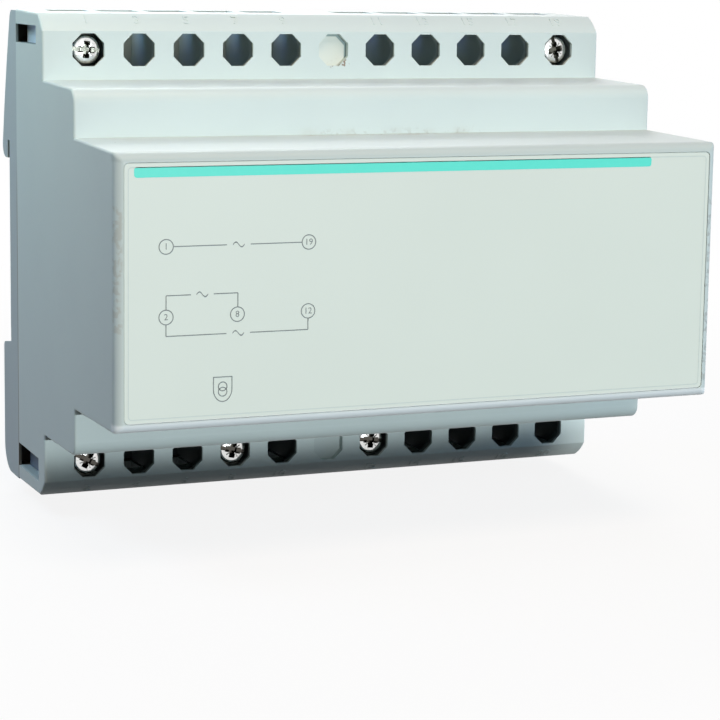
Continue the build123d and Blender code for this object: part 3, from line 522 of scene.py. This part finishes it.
marks = []
for label, (x, z) in mark_places.items():
    marks.append(ring(x, z, ring_radius))
    marks.append(figures(label, label_size, (x, print_y, z), facing_front))
short_z, long_z = -0.00034, -0.00666
gap_left, gap_right = -0.0346, -0.0307
for start, end in (
    ((left_x + ring_radius, upper_z), (gap_left, upper_z)),
    ((gap_right, upper_z), (right_x + 0.00001 - ring_radius, upper_z)),
    ((left_x, lower_z + ring_radius), (left_x, short_z)),
    ((left_x, short_z), (-0.0404, short_z)),
    ((-0.0367, short_z), (middle_x, short_z)),
    ((middle_x, short_z), (middle_x, lower_z + ring_radius)),
    ((left_x, lower_z - ring_radius), (left_x, long_z)),
    ((left_x, long_z), (gap_left, long_z)),
    ((gap_right, long_z), (right_x, long_z)),
    ((right_x, long_z), (right_x, lower_z - ring_radius)),
):
    marks.append(bar(start, end, line_width))
gap_middle = (gap_left + gap_right) / 2
for x, z in ((gap_middle, upper_z), (-0.03855, short_z), (gap_middle, long_z)):
    marks.append(wave(x, z))
shield_x, shield_z = -0.03515, -0.01540
marks.append(shield(shield_x, shield_z, 0.00160, 0.00200, 0.00205))
for offset in (0.00042, -0.00042):
    marks.append(ring(shield_x, shield_z + offset, 0.00078))
printed(marks, "connection_diagram", line_ink)

# Terminal blocks: grey mouldings behind the two rows of holes, with one chamber for each place. The upper
# block is painted lighter than the lower one, as light and shade, and their ends, where the windows of the
# side walls show them, are painted pale above, with a faint painted glow, and darker below.
block_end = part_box("upper_terminal_block")[1].x
block = Material("block_plastic", (0.11, 0.13, 0.13), 0.55, gloss=0.2)
# Painted light and shade: the upper block is painted lighter than the lower one.
block.lay(block.z.ramp(-0.02, 0.02), (0.42, 0.50, 0.50))
block.mottle(120, (0.20, 0.24, 0.24), share=0.15)
# The ends in the windows are painted pale as light, the upper ones paler still and with a painted glow.
end_face = abs(block.x).ramp(block_end - 0.0006, block_end - 0.0003)
upper_end_painted_light = end_face * block.z.ramp(0.0, 0.02)
block.lay(end_face, (0.22, 0.27, 0.34))
block.lay(upper_end_painted_light, (0.62, 0.70, 0.80))
block.glow(upper_end_painted_light * block.y.ramp(-0.0058, -0.0125), (0.050, 0.078, 0.112))
block.sheen(1500, 0.50, 0.12)
block.grain(4200, 0.000015, 0.5)
dress(block, "upper_terminal_block", "lower_terminal_block")

# Terminal screws: pan heads of nickel-plated steel, with a slot crossed by a recess, four tick marks, a
# turned thread below, and dark dirt with painted shade in the recess, darker on the lower screws. Each
# turns in its cage behind a hole of the cover.
head_radius = 0.0025
head_height = 0.0022
head_front = -0.0224
dome_rise = 0.00015
shank_radius = 0.0017
thread_pitch = 0.0007
thread_turns = 9
thread_depth_share = 0.86
cutter_reach = 0.0002
nickel = Material("nickel", (0.80, 0.80, 0.79), 0.16, metallic=1.0)
nickel.mottle(1500, (0.55, 0.53, 0.49), 0.50, 0.80, detail=4, share=0.8)
# Dark dirt and painted shade in the recess, painted darker still on the lower screws, which lie in shade.
recess = nickel.y.ramp(-0.02215, -0.0219) * nickel.y.ramp(-0.0203, -0.0206)
nickel.lay(recess * nickel.z.ramp(0.01, -0.01) * 0.95, (0.055, 0.048, 0.038))
nickel.lay(recess * nickel.z.ramp(-0.01, 0.01) * 0.93, (0.085, 0.086, 0.066))
nickel.sheen(2600, 0.06, 0.20, detail=3)
nickel.grain(3000, 0.00002, 0.5, detail=3)

rim_height = head_height - dome_rise
bpy.ops.mesh.primitive_cylinder_add(
    vertices=48,
    radius=head_radius,
    depth=rim_height,
    location=(0, head_front + dome_rise + rim_height / 2, 0),
    rotation=facing_front,
)
pattern = settle()
pick(pattern, "FACE", lambda face: face.normal.y < -0.9)
bpy.ops.mesh.bevel(offset=0.0006, segments=4)
pick(pattern, "FACE", lambda face: face.normal.y < -0.99 and face.area > 0.000001)
for width, rise in ((0.0005, 0.00008), (0.0006, 0.00005), (0.0004, 0.00002)):
    bpy.ops.mesh.inset(thickness=width)
    bpy.ops.transform.translate(value=(0, -rise, 0))
pick(pattern, "FACE", lambda face: face.normal.y > 0.99)
bpy.ops.mesh.inset(thickness=head_radius - shank_radius)
for _ in range(thread_turns):
    for scale in (thread_depth_share, 1 / thread_depth_share):
        bpy.ops.mesh.extrude_region_move(TRANSFORM_OT_translate={"value": (0, thread_pitch / 2, 0)})
        bpy.ops.transform.resize(value=(scale, 1, scale))
bpy.ops.mesh.inset(thickness=0.0003)
bpy.ops.object.mode_set(mode="OBJECT")
for length, width, depth, taper, turn in (
    (0.0056, 0.00070, 0.0009, 1.0, 0),
    (0.0032, 0.0012, 0.0013, 0.50, 0),
    (0.0032, 0.0012, 0.0013, 0.50, 90),
    (0.0030, 0.00022, 0.00035, 1.0, 45),
    (0.0030, 0.00022, 0.00035, 1.0, 135),
):
    middle = (0, head_front + (depth - cutter_reach) / 2, 0)
    bpy.ops.mesh.primitive_cube_add(size=1, location=middle)
    bpy.context.object.scale = (length, depth + cutter_reach, width)
    bpy.context.object.rotation_euler = (0, math.radians(turn), 0)
    cutter = settle()
    pick(cutter, "FACE", lambda face: face.normal.y > 0.9)
    bpy.ops.transform.resize(value=(taper, 1, taper))
    bpy.ops.object.mode_set(mode="OBJECT")
    bpy.ops.object.select_all(action="DESELECT")
    bpy.context.view_layer.objects.active = pattern
    cut = pattern.modifiers.new("recess", "BOOLEAN")
    cut.operation = "DIFFERENCE"
    cut.object = cutter
    bpy.ops.object.modifier_apply(modifier=cut.name)
    bpy.data.objects.remove(cutter, do_unlink=True)
pattern.select_set(True)
bpy.ops.object.shade_smooth_by_angle(angle=math.radians(32))
pattern.data.materials.clear()
pattern.data.materials.append(nickel.made)
for number, turn in (("1", 4), ("19", 76), ("2", 28), ("8", 12), ("12", 6)):
    low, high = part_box(f"terminal_screw_{number}")
    screw = pattern.copy()
    screw.data = pattern.data.copy()
    bpy.context.collection.objects.link(screw)
    screw.rotation_euler = (0, math.radians(turn), 0)
    screw.location = ((low.x + high.x) / 2, 0, (low.z + high.z) / 2)
    joined([screw], f"pan_head_screw_{number}")
    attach(screw, f"screw_{number}")
    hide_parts(f"terminal_screw_{number}")
bpy.data.objects.remove(pattern, do_unlink=True)

# Clamp cages and contact bars: stamped rings of zinc-plated steel that rise with
# their screws, and tinned brass bars with a solder tab, held in the chambers of
# the blocks.
zinc = Material("zinc", (0.52, 0.53, 0.52), 0.32, metallic=1.0)
zinc.mottle(700, (0.42, 0.43, 0.43), 0.45, 0.75, detail=4)
zinc.sheen(1800, 0.22, 0.25, detail=3)
zinc.grain(2500, 0.00001, 0.5)
tin = Material("tinned_brass", (0.66, 0.62, 0.52), 0.30, metallic=1.0)
tin.mottle(900, (0.62, 0.52, 0.34), 0.5, 0.75, detail=4)
tin.sheen(1800, 0.20, 0.22, detail=3)
tin.grain(2500, 0.00001, 0.5)
for number in mark_places:
    dress(zinc, f"terminal_cage_{number}")
    dress(tin, f"contact_bar_{number}")

# Rail latch and its spring: a plain grey moulded slider in the foot, smoother
# than the base, pushed up by a coil of spring steel wire.
latch = Material("latch_plastic", (0.300, 0.330, 0.335), 0.40, gloss=0.3)
latch.mottle(80, (0.270, 0.300, 0.305))
latch.sheen(1500, 0.34, 0.12)
latch.grain(4200, 0.000012, 0.5)
dress(latch, "rail_latch")
spring_steel = Material("spring_steel", (0.40, 0.40, 0.41), 0.28, metallic=1.0)
spring_steel.mottle(900, (0.30, 0.29, 0.28), 0.4, 0.8)
spring_steel.sheen(2500, 0.2, 0.2)
dress(spring_steel, "latch_spring")

# Core: two stacks of varnished steel sheets seen edge on, pressed together round
# the bobbin, with a little rust.
sheet_pitch = 0.0005
core = Material("laminations", (0.075, 0.078, 0.085), 0.45, metallic=0.6)
sheets = (core.x * (2 * math.pi / sheet_pitch)).sine()
core.lay(sheets.ramp(0.3, 1.0) * core.noise(300, 3), (0.16, 0.16, 0.17))
core.mottle(180, (0.16, 0.07, 0.03), 0.62, 0.75, detail=4, share=0.6)
core.sheen(900, 0.35, 0.25, detail=3)
core.bump(sheets, 0.00004, 0.6)
dress(core, "core_e_stack", "core_i_stack")

# Bobbin and windings: a bobbin of natural nylon, enamelled copper wire in fine
# turns, and a wrap of yellow polyester tape round each winding.
wire_pitch = 0.0006
nylon = Material("nylon", (0.62, 0.60, 0.50), 0.45)
nylon.mottle(90, (0.58, 0.56, 0.46))
nylon.grain(3500, 0.00001)
dress(nylon, "bobbin")
copper = Material("enamelled_copper", (0.46, 0.15, 0.06), 0.30, metallic=0.8, coat=0.4)
copper.mottle(500, (0.36, 0.10, 0.04), 0.4, 0.8)
copper.bump((copper.z * (2 * math.pi / wire_pitch)).sine(), 0.00008, 0.8)
dress(copper, "primary_winding", "secondary_winding")
tape = Material("polyester_tape", (0.62, 0.46, 0.08), 0.22, coat=0.3)
tape.mottle(160, (0.56, 0.40, 0.06))
tape.grain(260, 0.00006, 0.5, detail=3, stretch=(1, 1, 4))
dress(tape, "primary_tape", "secondary_tape")

# Thermal cut-out and leads: a small black moulded case on the primary winding,
# and soft insulated leads soldered to the contact bars, brown above and grey
# below.
brown_leads = ("lead_1", "lead_19")
grey_leads = ("lead_2", "lead_8", "lead_12")
for name, color, cloud, roughness, scale, fineness, nodes in (
    ("cutout_case", (0.02, 0.02, 0.022), (0.03, 0.03, 0.032), 0.35, 300, 3500, ("thermal_cutout",)),
    ("brown_insulation", (0.16, 0.065, 0.03), (0.13, 0.05, 0.024), 0.38, 400, 3000, brown_leads),
    ("grey_insulation", (0.24, 0.24, 0.25), (0.20, 0.20, 0.21), 0.38, 400, 3000, grey_leads),
):
    plastic = Material(name, color, roughness)
    plastic.mottle(scale, cloud, 0.4, 0.8)
    plastic.grain(fineness, 0.00001)
    dress(plastic, *nodes)

# Camera: fitted to the photograph on the six-module width. Its small downward
# shift keeps the object high in the frame, as it is there.
camera_data = bpy.data.cameras.new("camera")
camera = bpy.data.objects.new("camera", camera_data)
bpy.context.collection.objects.link(camera)
camera.location = (-0.146146, -0.38967, 0.049349)
camera.rotation_euler = [math.radians(angle) for angle in (81.5312, -0.86, -22.4124)]
camera_data.sensor_width = 36
camera_data.lens = 111.154
camera_data.shift_y = -0.0806
camera_data.clip_start = 0.01
camera_data.clip_end = 40
bpy.context.scene.camera = camera


# Floor: a plain sheet under the lowest point. The camera, metal and glass see it
# pale, with the shadow on it, and whiter further out. To soft light it is dark,
# because the photographed underside is dark.
def two_sided_look(recipe, plain, seen, output):
    """One shader for light, and another for the camera, gloss and glass."""
    paths = recipe.node("ShaderNodeLightPath").outputs
    direct = Field(recipe, paths["Is Camera Ray"])
    direct = direct.highest(Field(recipe, paths["Is Glossy Ray"]))
    direct = direct.highest(Field(recipe, paths["Is Transmission Ray"]))
    shader = recipe.node("ShaderNodeMixShader", sockets={0: direct, 1: plain, 2: seen})
    recipe.node(output, sockets={"Surface": shader.outputs[0]})


bpy.ops.mesh.primitive_plane_add(size=16, location=(0, 0, cad_low.z))
floor = settle()
floor.name = "floor"
floor_material = bpy.data.materials.new("floor")
floor_material.use_nodes = True
floor_material.node_tree.nodes.clear()
paper = Recipe(floor_material.node_tree)
dark = paper.node("ShaderNodeBsdfDiffuse", sockets={"Color": (0.05, 0.05, 0.05, 1)})
pale = paper.node("ShaderNodeBsdfDiffuse", sockets={"Color": (0.9, 0.9, 0.9, 1)})
bright = paper.node("ShaderNodeEmission")
spot = {0: paper.node("ShaderNodeTexCoord").outputs["Object"]}
far = paper.field("ShaderNodeVectorMath", {"operation": "LENGTH"}, spot, "Value")
whiteness = far.ramp(0.08, 0.30) * 0.12 + 0.88
shown = {0: whiteness, 1: pale.outputs[0], 2: bright.outputs[0]}
seen_floor = paper.node("ShaderNodeMixShader", sockets=shown)
two_sided_look(paper, dark.outputs[0], seen_floor.outputs[0], "ShaderNodeOutputMaterial")
floor.data.materials.append(floor_material)
floor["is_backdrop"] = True

# World: white to the camera and to reflections, and a cool soft light for
# everything else.
world = bpy.data.worlds.new("studio")
bpy.context.scene.world = world
world.use_nodes = True
world.node_tree.nodes.clear()
studio = Recipe(world.node_tree)
soft_light = {"Color": (0.833, 0.944, 1.0, 1), "Strength": 0.218}
soft = studio.node("ShaderNodeBackground", sockets=soft_light)
white = studio.node("ShaderNodeBackground", sockets={"Color": (1, 1, 1, 1)})
two_sided_look(studio, soft.outputs[0], white.outputs[0], "ShaderNodeOutputWorld")


# Lamps: a soft key high in front, weak fills at the right, behind and close to
# the left side, a low fill in front whose lower edge fades out at the foot of
# the housing, and a narrow one that reaches its lower right corner.
def hang_lamp(name, kind, place, way, watts, color):
    """A lamp that points one way and is not seen itself."""
    data = bpy.data.lights.new(name, kind)
    data.energy = watts
    data.color = color
    lamp = bpy.data.objects.new(name, data)
    bpy.context.collection.objects.link(lamp)
    lamp.location = place
    lamp.rotation_mode = "QUATERNION"
    lamp.rotation_quaternion = Vector(way).to_track_quat("-Z", "Y")
    lamp.visible_camera = False
    return data


housing_middle = (0, -0.03, 0)
for name, place, aim, size, watts, color in (
    ("key", (0.045, -0.545, 0.971), housing_middle, 0.5, 6.3, (1.0, 0.80, 0.63)),
    ("right", (0.907, -0.396, 0.208), housing_middle, 0.4, 1.6, (0.15, 0.54, 1.0)),
    ("back", (0.241, 0.871, 0.583), housing_middle, 0.5, 4.8, (0.93, 0.98, 1.0)),
    ("left", (-0.130, -0.03, 0.11), (-0.052, -0.03, 0.02), 0.06, 0.050, (0.96, 1.0, 0.68)),
    ("left_rear", (-0.20, 0.03, 0.20), (-0.052, -0.02, 0.02), 0.12, 0.16, (0.12, 0.20, 1.0)),
    ("left_low", (-0.130, 0.03, 0.10), (-0.052, -0.01, 0.02), 0.06, 0.027, (0.30, 1.0, 0.85)),
):
    panel = hang_lamp(name, "AREA", place, Vector(aim) - Vector(place), watts, color)
    panel.shape = "SQUARE"
    panel.size = size
fill_place = (0.10, -1.05, 0.035)
fill_angle = math.radians(120)
fill_foot_z = -0.0386
foot_drop = math.atan2(fill_foot_z - fill_place[2], terminal_y - fill_place[1])
climb = foot_drop + fill_angle / 2
swing = math.atan2(-fill_place[0], 1)
fill_way = (math.sin(swing) * math.cos(climb), math.cos(swing) * math.cos(climb), math.sin(climb))
corner_place = Vector((0.24, -0.60, -0.028))
corner_way = Vector((0.0545, terminal_y, -0.0362)) - corner_place
for name, place, way, angle, blend, radius, watts, color in (
    ("fill", fill_place, fill_way, fill_angle, 0.0112, 0.002, 25.2, (0.82, 0.915, 0.955)),
    ("corner", corner_place, corner_way, math.radians(2.1), 1.0, 0.004, 9.0, (0.95, 1.0, 1.0)),
):
    beam = hang_lamp(name, "SPOT", place, way, watts, color)
    beam.spot_size = angle
    beam.spot_blend = blend
    beam.shadow_soft_size = radius

bpy.context.scene.view_settings.view_transform = "Standard"

low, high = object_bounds()
